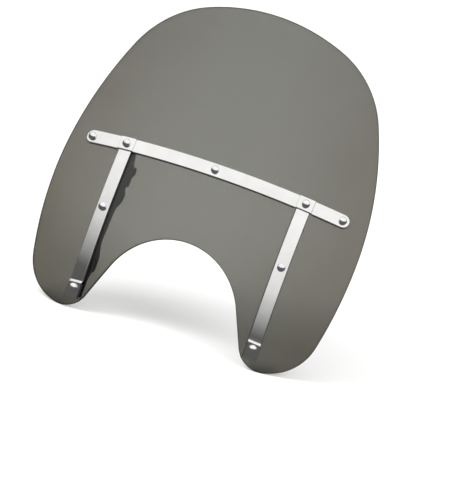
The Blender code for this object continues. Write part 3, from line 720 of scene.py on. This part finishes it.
chrome_finish = Finish("bright_chrome", 1.0, 0.03)
chrome_finish.colour(chrome_finish.noise(120, 2), (0.88, 0.885, 0.90), (0.95, 0.955, 0.965))
chrome_finish.roughness(chrome_finish.noise(500, 4), 0.015, 0.06)
chrome_finish.bump([(chrome_finish.noise(260, 1), 0.2, 0.00004)])
chrome = chrome_finish.material

zinc_finish = Finish("zinc_plate", 1.0, 0.3)
zinc_finish.colour(zinc_finish.noise(420, 5), (0.50, 0.505, 0.50), (0.70, 0.70, 0.68))
zinc_finish.roughness(zinc_finish.noise(700, 4), 0.22, 0.42)
zinc_finish.bump([(zinc_finish.noise(1500, 4), 0.3, 0.00003)])
zinc = zinc_finish.material

satin_finish = Finish("satin_stainless", 1.0, 0.25)
satin_finish.colour(satin_finish.noise(60, 4), (0.60, 0.595, 0.58), (0.70, 0.695, 0.68))
grain = satin_finish.noise(1600, 3, (1.0, 0.04, 1.0))
satin_finish.roughness(grain, 0.18, 0.34)
satin_finish.bump([(grain, 0.35, 0.00002)])
satin = satin_finish.material

powder_finish = Finish("black_powder_coat", 0.0, 0.38)
powder_finish.colour(powder_finish.noise(70, 4), (0.014, 0.014, 0.015), (0.028, 0.028, 0.030))
powder_finish.roughness(powder_finish.noise(240, 4), 0.30, 0.46)
powder_finish.bump([(powder_finish.noise(1300, 2), 0.35, 0.00008)])
black_steel = powder_finish.material

rubber_finish = Finish("black_rubber_grain", 0.0, 0.72)
rubber_finish.colour(rubber_finish.noise(160, 5), (0.012, 0.012, 0.012), (0.030, 0.029, 0.028))
rubber_finish.roughness(rubber_finish.noise(420, 4), 0.58, 0.85)
rubber_finish.bump([(rubber_finish.noise(2600, 4), 0.5, 0.00008)])
rubber = rubber_finish.material

nylon_finish = Finish("black_nylon_moulded", 0.0, 0.5)
nylon_finish.colour(nylon_finish.noise(300, 3), (0.022, 0.022, 0.023), (0.040, 0.040, 0.041))
nylon_finish.roughness(nylon_finish.noise(900, 3), 0.42, 0.60)
nylon_finish.bump([(nylon_finish.noise(3000, 2), 0.25, 0.00004)])
nylon = nylon_finish.material


strap_drill = drill("strap_drill", STRAP_HOLE)
gasket_drill = drill("gasket_drill", GASKET_HOLE)
sheet_drill = drill("sheet_drill", SHEET_HOLE)

# The sheet, its edges rounded, with the band along its rim in a near-black tint: painted shade
# outlining the sheet
shield = blank("sheet", sheet_mesh())
thicken = shield.modifiers.new("thickness", "SOLIDIFY")
thicken.thickness = SHEET_THICKNESS
thicken.offset = -1
thicken.use_even_offset = True
shield.data.materials.append(tint)
shield.data.materials.append(rim_shade_tint)
bevel(shield, SHEET_FILLET, 4)
boolean(shield, sheet_drill)
finish("shield", shield, [tint, rim_shade_tint], crease=50)

# The crossbar and its gasket in three lengths, each stopping short of the joggles
mesh = rounded_bar(
    "crossbar_blank",
    crossbar_stations(),
    crossbar_half_width,
    STRAP_THICKNESS,
    across_sheet(crossbar_height),
    STRAP_FILLET,
)
crossbar = blank("crossbar_blank", mesh)
boolean(crossbar, strap_drill)
finish("crossbar", crossbar, [polished_across])

# The spill past the strap is partly painted shade: a black rim standing for the shade along the
# strap's edges.
gasket_half = STRAP_WIDTH / 2 + GASKET_SPILL
joggle_end = JOGGLE_FLAT + JOGGLE_RUN
outer_run = spaced(STRAP_X + joggle_end, END_X, 5 * MM) + tip_stations(gasket_half)
gasket_runs = {
    "crossbar_gasket_centre": spaced(-(STRAP_X - joggle_end), STRAP_X - joggle_end, 5 * MM),
    "crossbar_gasket_left": outer_run,
    "crossbar_gasket_right": [-x for x in reversed(outer_run)],
}
for name, xs in gasket_runs.items():
    mesh = rounded_bar(
        name,
        xs,
        lambda x: crossbar_half_width(x, GASKET_SPILL),
        GASKET_THICKNESS,
        across_sheet(lambda x: GASKET_BASE),
        GASKET_FILLET,
        2,
    )
    gasket = blank(name, mesh)
    boolean(gasket, gasket_drill)
    finish(name, gasket, [rubber])

# The upright straps with their gaskets and foot pads, and the brackets behind the sheet
foot_bend = FOOT_Z + FOOT_ABOVE
for side, sign in SIDES.items():
    x = sign * STRAP_X
    mesh = rounded_bar(
        "strap_blank",
        strap_levels(),
        lambda z: STRAP_WIDTH / 2,
        STRAP_THICKNESS,
        down_sheet(x, strap_height),
        STRAP_FILLET,
    )
    strap = blank("strap_blank", mesh)
    boolean(strap, strap_drill)
    finish(f"strap_{side}", strap, [polished_down])

    pad_thickness = STRAP_BASE + FOOT_RISE - GAP - GASKET_BASE
    upper = spaced(STRAP_TOP, 0.0, 10 * MM) + spaced(0.0, foot_bend + FOOT_RUN, 10 * MM)[1:]
    lower = spaced(foot_bend - 0.5 * MM, FOOT_Z - FOOT_BELOW + 0.6 * MM, 7 * MM)
    for node, levels, thickness, fillet in (
        (f"strap_gasket_{side}", upper, GASKET_THICKNESS, GASKET_FILLET),
        (f"foot_pad_{side}", lower, pad_thickness, PAD_FILLET),
    ):
        flat = down_sheet(x, lambda z: GASKET_BASE)
        mesh = rounded_bar(node, levels, lambda z: gasket_half, thickness, flat, fillet, 3)
        gasket = blank(node, mesh)
        boolean(gasket, gasket_drill)
        finish(node, gasket, [rubber])

    levels = spaced(STRAP_TOP, 0.0, 10 * MM) + spaced(0.0, BRACKET_BOTTOM, 10 * MM)[1:]
    run = upright_strip(x, levels, BRACKET_HALF_WIDTH, STRAP_THICKNESS, lambda z: FLANGE_BASE)
    bracket = blank("bracket", loft("bracket", run))
    boolean(bracket, bracket_plate(f"plate_{side}", sign), "UNION")
    boolean(bracket, strap_drill)
    boolean(bracket, capsule(f"upper_slot_{side}", UPPER_SEAT, 0.0, sign))
    boolean(bracket, capsule(f"lower_slot_{side}", LOWER_SEAT, LOWER_SLOT_TURN, sign))
    boolean(bracket, cross_pin(f"pivot_hole_{side}", PIVOT, PIVOT_RADIUS + GAP, sign))
    stop_bore = STOP_RADIUS - 0.5 * MM + GAP
    boolean(bracket, cross_pin(f"stop_hole_{side}", STOP, stop_bore, sign))
    bevel(bracket, 0.45 * MM, 2)
    finish(f"bracket_{side}", bracket, [black_steel])

    half = BRACKET_HALF_WIDTH - 0.4 * MM
    flat = down_sheet(x, lambda z: REAR_GASKET_BASE)
    mesh = rounded_bar(
        "rear", levels, lambda z: half, GASKET_THICKNESS, flat, GASKET_FILLET, 2
    )
    gasket = blank("bracket_gasket", mesh)
    boolean(gasket, gasket_drill)
    finish(f"bracket_gasket_{side}", gasket, [rubber])


# The fasteners
def nut_blank():
    """A round capped nut: a low polished dome on a short skirt, with a blind hole from below."""
    profile = [(0, CAP_SKIRT + DOME_HEIGHT)]
    for k in range(1, 21):
        angle = math.radians(90 * (1 - k / 20))
        rise = CAP_SKIRT + DOME_HEIGHT * math.sin(angle)
        profile.append((CAP_RADIUS * math.cos(angle), rise))
    profile += [
        (CAP_RADIUS, 0.5 * MM),
        (CAP_RADIUS - 0.15 * MM, 0.15 * MM),
        (CAP_RADIUS - 0.5 * MM, 0),
        (0, 0),
    ]
    cap = blank("nut_cap", revolved("nut_cap", profile, 64))
    hole_profile = [
        (0, NUT_BORE_DEPTH + NUT_BORE * 0.2),
        (NUT_BORE, NUT_BORE_DEPTH),
        (NUT_BORE, 0.6 * MM),
        (NUT_BORE + 0.6 * MM, -0.2 * MM),
        (0, -0.2 * MM),
    ]
    hole = blank("nut_hole", revolved("nut_hole", hole_profile, 32))
    boolean(cap, hole)
    return baked(cap)


def screw_blank(length):
    """A button head with a hexagonal socket, its seat at height 0 and its shank upward."""
    profile = [
        (0, length),
        (SHANK_RADIUS - 0.6 * MM, length),
        (SHANK_RADIUS, length - 0.6 * MM),
        (SHANK_RADIUS, 0),
        (HEAD_RADIUS - 0.2 * MM, 0),
        (HEAD_RADIUS, -0.2 * MM),
        (HEAD_RADIUS, -0.9 * MM),
    ]
    for k in range(1, 9):
        angle = math.radians(78 * k / 8)
        rise = (HEAD_HEIGHT - 0.9 * MM) * math.sin(angle) / math.sin(math.radians(78))
        profile.append((HEAD_RADIUS * math.cos(angle) ** 0.42, -0.9 * MM - rise))
    profile.append((0, -HEAD_HEIGHT))
    body = blank("screw_blank", revolved("screw_blank", profile, 40))
    down = Matrix.Translation((0, 0, -HEAD_HEIGHT))
    socket = cylinder("screw_socket", SOCKET_RADIUS, 2 * SOCKET_DEPTH, down, 6)
    boolean(body, socket)
    bevel(body, 0.12 * MM, 2)
    return baked(body)


def sleeve_profile(flanged):
    top = -0.1 * MM
    if not flanged:
        low = -SHEET_THICKNESS + 0.1 * MM
        return [(GROMMET_BORE, top), (GROMMET_RADIUS, top), (GROMMET_RADIUS, low), (GROMMET_BORE, low)]
    shelf = -SHEET_THICKNESS - GAP
    low = shelf - GASKET_THICKNESS
    outer = [
        (GROMMET_RADIUS, shelf),
        (FLANGE_RADIUS - 0.3 * MM, shelf),
        (FLANGE_RADIUS, shelf - 0.3 * MM),
        (FLANGE_RADIUS, low + 0.3 * MM),
        (FLANGE_RADIUS - 0.3 * MM, low),
    ]
    return [(GROMMET_BORE, top), (GROMMET_RADIUS, top)] + outer + [(GROMMET_BORE, low)]


def front_height(name):
    """The height of the metal face that a fastener's nut sits on."""
    if name.startswith("cross"):
        return STRAP_FACE + CROSS_RISE
    if name.startswith("foot"):
        return STRAP_FACE + FOOT_RISE
    return STRAP_FACE


washer_base = REAR_GASKET_BASE - GAP - WASHER_THICKNESS
nut = nut_blank()
sleeve = revolved("grommet", sleeve_profile(False), 40)
flanged_sleeve = revolved("grommet_flanged", sleeve_profile(True), 48)
washer_profile = [
    (GROMMET_BORE, WASHER_THICKNESS),
    (WASHER_RADIUS - 0.25 * MM, WASHER_THICKNESS),
    (WASHER_RADIUS, WASHER_THICKNESS - 0.25 * MM),
    (WASHER_RADIUS, 0.25 * MM),
    (WASHER_RADIUS - 0.25 * MM, 0),
    (GROMMET_BORE, 0),
]
washer = revolved("washer", washer_profile, 48)
screws = {}
for index, name in enumerate(FASTENERS):
    fixed = PLACE @ fastener_frame(name)
    spin = Matrix.Rotation(math.radians(23 * index), 4, "Z")
    nut_base = front_height(name) + GAP
    free = name in FREE_FASTENERS
    seat = (washer_base if free else FLANGE_BASE) - GAP
    length = round(nut_base + THREAD_ENGAGED - seat, 5)
    if length not in screws:
        screws[length] = screw_blank(length)
    nut_place = fixed @ Matrix.Translation((0, 0, nut_base))
    seated = fixed @ Matrix.Translation((0, 0, seat))
    grommet = flanged_sleeve if free else sleeve
    finish(f"nut_{name}", blank("nut", nut.copy()), [chrome], place=nut_place)
    screw = blank("screw", screws[length].copy())
    finish(f"screw_{name}", screw, [zinc], place=seated @ spin)
    finish(f"grommet_{name}", blank("grommet", grommet.copy()), [rubber], place=fixed)
    if free:
        washer_place = fixed @ Matrix.Translation((0, 0, washer_base))
        piece = blank("washer", washer.copy())
        finish(f"washer_{name}", piece, [zinc], place=washer_place)

# The latches, each built about its pivot
lever_low = PLATE_X + PLATE_THICKNESS + LATCH_WASHER + 2 * LATCH_WASHER_GAP
lever_high = lever_low + LATCH_THICKNESS
head_low = lever_high + LATCH_WASHER + 2 * LATCH_WASHER_GAP
along_x = Matrix.Rotation(math.pi / 2, 4, "Y")
tab_way = Matrix.Rotation(math.radians(36.87), 4, "X")
tab_centre = Vector((0, 49.6 * MM, 2.2 * MM))
for side, sign in SIDES.items():
    arm = f"latch_{side}_arm"
    pivot_place = PLACE @ Matrix.Translation((0, *PIVOT))
    low, high = sorted((sign * lever_low, sign * lever_high))
    middle = (low + high) / 2
    latch = blank("latch", prism("latch", latch_outline(), low, high, 9, 2.4 * MM))
    bore = Matrix.Translation((middle, 0, 0)) @ along_x
    boolean(latch, cylinder("latch_bore", PIVOT_RADIUS + PIVOT_RUNNING_GAP, 12 * MM, bore))
    bevel(latch, 0.5 * MM, 3)
    finish(f"latch_{side}", latch, [satin], arm, pivot_place)

    # The rubber grip is a block with a pocket for the finger tab and ribs across both faces
    grip_size = (LATCH_THICKNESS + 2 * GRIP_WALL, GRIP_LENGTH, TAB_WIDTH + 2 * GRIP_WALL)
    grip_at = Matrix.Translation(tab_centre + Vector((middle, 0, 0))) @ tab_way
    grip = block("grip", grip_size, grip_at)
    bevel(grip, 1.8 * MM, 5)
    pocket_size = (LATCH_THICKNESS + 2 * GRIP_FIT, 2 * GRIP_LENGTH, TAB_WIDTH + 2 * GRIP_FIT)
    pocket_at = grip_at @ Matrix.Translation((0, -12.7 * MM, 0))
    boolean(grip, block("grip_pocket", pocket_size, pocket_at))
    for k in range(5):
        for face in (-1, 1):
            along_grip = GRIP_RIB_PITCH * k - 4.2 * MM
            groove = Matrix.Translation((face * grip_size[0] / 2, along_grip, 0))
            boolean(grip, cylinder(f"groove_{k}", 0.7 * MM, TAB_WIDTH, grip_at @ groove, 16))
    finish(f"latch_grip_{side}", grip, [rubber], arm, pivot_place)

    # The pivot: a peened inner end, a shank, and a domed outer head
    inner = PLATE_X - GAP
    pivot_profile = [
        (0, head_low + 2.6 * MM),
        (2.0 * MM, head_low + 2.5 * MM),
        (3.5 * MM, head_low + 2.3 * MM),
        (4.9 * MM, head_low + 1.85 * MM),
        (5.8 * MM, head_low + 1.35 * MM),
        (6.3 * MM, head_low + 0.7 * MM),
        (6.5 * MM, head_low),
        (PIVOT_RADIUS, head_low),
        (PIVOT_RADIUS, inner),
        (5.8 * MM, inner),
        (5.5 * MM, inner - 0.8 * MM),
        (4.8 * MM, inner - 1.5 * MM),
        (3.2 * MM, inner - 1.9 * MM),
        (0, inner - 2.0 * MM),
    ]
    turned = pivot_place @ Matrix.Rotation(sign * math.pi / 2, 4, "Y")
    pivot = blank("latch_pivot", revolved("latch_pivot", pivot_profile, 48))
    finish(f"latch_pivot_{side}", pivot, [chrome], place=turned)

    # A nylon washer on each side of the latch
    inner_start = PLATE_X + PLATE_THICKNESS + LATCH_WASHER_GAP
    outer_start = lever_high + LATCH_WASHER_GAP
    for place, start in (("inner", inner_start), ("outer", outer_start)):
        profile = [
            (PIVOT_RADIUS + GAP, start + LATCH_WASHER),
            (7.3 * MM, start + LATCH_WASHER),
            (7.5 * MM, start + LATCH_WASHER - 0.2 * MM),
            (7.5 * MM, start + 0.2 * MM),
            (7.3 * MM, start),
            (PIVOT_RADIUS + GAP, start),
        ]
        ring = blank("latch_washer", revolved("latch_washer", profile, 40))
        finish(f"latch_washer_{place}_{side}", ring, [nylon], place=turned)

    # The stop pin under the latch's arm
    stop_profile = [
        (0, lever_high),
        (STOP_RADIUS - 0.5 * MM, lever_high),
        (STOP_RADIUS, lever_high - 0.5 * MM),
        (STOP_RADIUS, PLATE_X + PLATE_THICKNESS + GAP),
        (STOP_RADIUS - 0.5 * MM, PLATE_X + PLATE_THICKNESS + GAP),
        (STOP_RADIUS - 0.5 * MM, inner),
        (STOP_RADIUS + 0.6 * MM, inner),
        (STOP_RADIUS, inner - 1.2 * MM),
        (0, inner - 1.4 * MM),
    ]
    stop_place = PLACE @ Matrix.Translation((0, *STOP)) @ Matrix.Rotation(sign * math.pi / 2, 4, "Y")
    pin = blank("latch_stop", revolved("latch_stop", stop_profile, 32))
    finish(f"latch_stop_{side}", pin, [zinc], place=stop_place)

for old in list(scratch.objects):
    bpy.data.objects.remove(old, do_unlink=True)
bpy.data.collections.remove(scratch)

# The studio: a pale floor and a soft pale sky
bm = bmesh.new()
bmesh.ops.create_grid(bm, x_segments=8, y_segments=8, size=60)
floor_mesh = bpy.data.meshes.new("floor")
bm.to_mesh(floor_mesh)
bm.free()
floor = bpy.data.objects.new("floor", floor_mesh)
floor.location = (0, 0, cad_box[0].z)
bpy.context.scene.collection.objects.link(floor)
floor_finish = Finish("pale_floor", 0.0, 0.9)
floor_finish.colour(floor_finish.noise(0.8, 3), (0.86, 0.86, 0.855), (0.90, 0.90, 0.895))
floor.data.materials.append(floor_finish.material)
floor.visible_glossy = False

# Plain white all round for what lights the part and is seen through it. Polished metal would
# show no shape in that, so mirror rays see a neutral grey that is dark below and low down and
# rises softly to white, the same on every side. A stop is a height, 0 level and 1 overhead, and
# a grey.
PLAIN_STRENGTH = 1.15
STUDIO_STEP = [(0.2, 0.1), (0.4, 0.8), (0.6, 1.0)]

world = bpy.data.worlds.new("studio")
bpy.context.scene.world = world
world.use_nodes = True
nodes = world.node_tree.nodes
wire = world.node_tree.links.new
plain = nodes["Background"]
plain.inputs["Color"].default_value = (1.0, 1.0, 1.0, 1.0)
plain.inputs["Strength"].default_value = PLAIN_STRENGTH

direction = nodes.new("ShaderNodeTexCoord").outputs["Generated"]
split = nodes.new("ShaderNodeSeparateXYZ")
wire(direction, split.inputs["Vector"])
step = nodes.new("ShaderNodeValToRGB")
elements = step.color_ramp.elements
elements.new(0.5)
for element, (place, grey) in zip(elements, STUDIO_STEP):
    element.position = place
    element.color = (grey, grey, grey, 1.0)
wire(split.outputs["Z"], step.inputs["Fac"])
mirrored = nodes.new("ShaderNodeBackground")
wire(step.outputs["Color"], mirrored.inputs["Color"])
ray = nodes.new("ShaderNodeLightPath").outputs
not_through = nodes.new("ShaderNodeMath")
not_through.operation = "SUBTRACT"
not_through.inputs[0].default_value = 1.0
wire(ray["Is Transmission Ray"], not_through.inputs[1])
is_mirror = nodes.new("ShaderNodeMath")
is_mirror.operation = "MULTIPLY"
wire(ray["Is Glossy Ray"], is_mirror.inputs[0])
wire(not_through.outputs["Value"], is_mirror.inputs[1])
studio = nodes.new("ShaderNodeMixShader")
wire(is_mirror.outputs["Value"], studio.inputs["Fac"])
wire(plain.outputs["Background"], studio.inputs[1])
wire(mirrored.outputs["Background"], studio.inputs[2])
wire(studio.outputs["Shader"], nodes["World Output"].inputs["Surface"])


def soft_light(name, place, aim, size, power):
    data = bpy.data.lights.new(name, "AREA")
    data.shape = "RECTANGLE"
    data.size, data.size_y = size
    data.energy = power
    lamp = bpy.data.objects.new(name, data)
    lamp.location = place
    lamp.visible_glossy = False
    lamp.visible_transmission = False
    lamp.rotation_euler = (Vector(aim) - Vector(place)).to_track_quat("-Z", "Y").to_euler()
    bpy.context.scene.collection.objects.link(lamp)


soft_light("key", (-2.2, -2.4, 3.0), (0, 0, 0), (2.4, 2.4), 120)
soft_light("fill", (3.0, -1.5, 2.2), (0, 0, 0), (2.0, 2.0), 50)

# The camera, at the photograph's viewing angle and tilt, solved for from the outline and the nuts
CAMERA_AZIMUTH = 11.12
CAMERA_ELEVATION = 13.51
CAMERA_ROLL = -16.30
CAMERA_DISTANCE = 9.205
CAMERA_AIM = Vector((0.0809, -0.0157, 0.0353))
CAMERA_LENS = 365.9

azimuth, elevation, roll = map(
    math.radians, (CAMERA_AZIMUTH, CAMERA_ELEVATION, CAMERA_ROLL)
)
back = Vector(
    (
        math.sin(azimuth) * math.cos(elevation),
        -math.cos(azimuth) * math.cos(elevation),
        math.sin(elevation),
    )
)
level = (-back).cross(Vector((0, 0, 1))).normalized()
rise = back.cross(level)
right = level * math.cos(roll) - rise * math.sin(roll)
up = rise * math.cos(roll) + level * math.sin(roll)
camera = bpy.data.objects.new("camera", bpy.data.cameras.new("camera"))
camera.data.lens = CAMERA_LENS
camera.data.sensor_width = 36.0
camera.data.clip_end = 200
camera.matrix_world = Matrix.Translation(CAMERA_AIM + back * CAMERA_DISTANCE) @ (
    Matrix((right, up, back)).transposed().to_4x4()
)
bpy.context.scene.collection.objects.link(camera)
bpy.context.scene.camera = camera
bpy.context.scene.view_settings.view_transform = "Standard"
